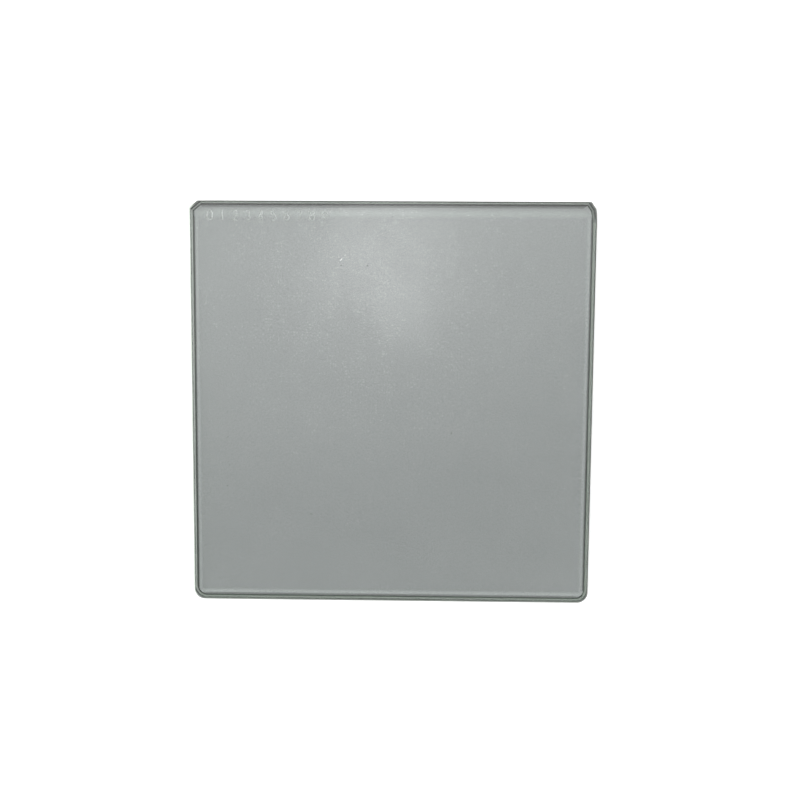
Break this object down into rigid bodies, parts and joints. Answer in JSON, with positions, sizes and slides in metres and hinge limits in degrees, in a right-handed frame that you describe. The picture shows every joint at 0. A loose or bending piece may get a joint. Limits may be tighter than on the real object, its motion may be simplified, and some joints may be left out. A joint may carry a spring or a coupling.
{
  "type": "square soft focus filter",
  "caption": "Square plate of hazy grey-green glass with ground edges, slid into a filter tray in front of a lens to soften the picture.",
  "frame": {"origin": "middle of the rear face, which lies on the surface", "axes": "+Z is the optical axis out of the front face, +Y points to the head edge between the two flat-cut corners, +X points to the right side edge as seen from the front"},
  "size_m": [0.1016, 0.1016, 0.004],
  "materials": {
    "hazed_glass": "float glass with a fine diffusing haze, edges and arrises wheel-ground"
  },
  "bodies": {
    "root": {"filter_plate": "hazed_glass"}
  },
  "joints": []
}
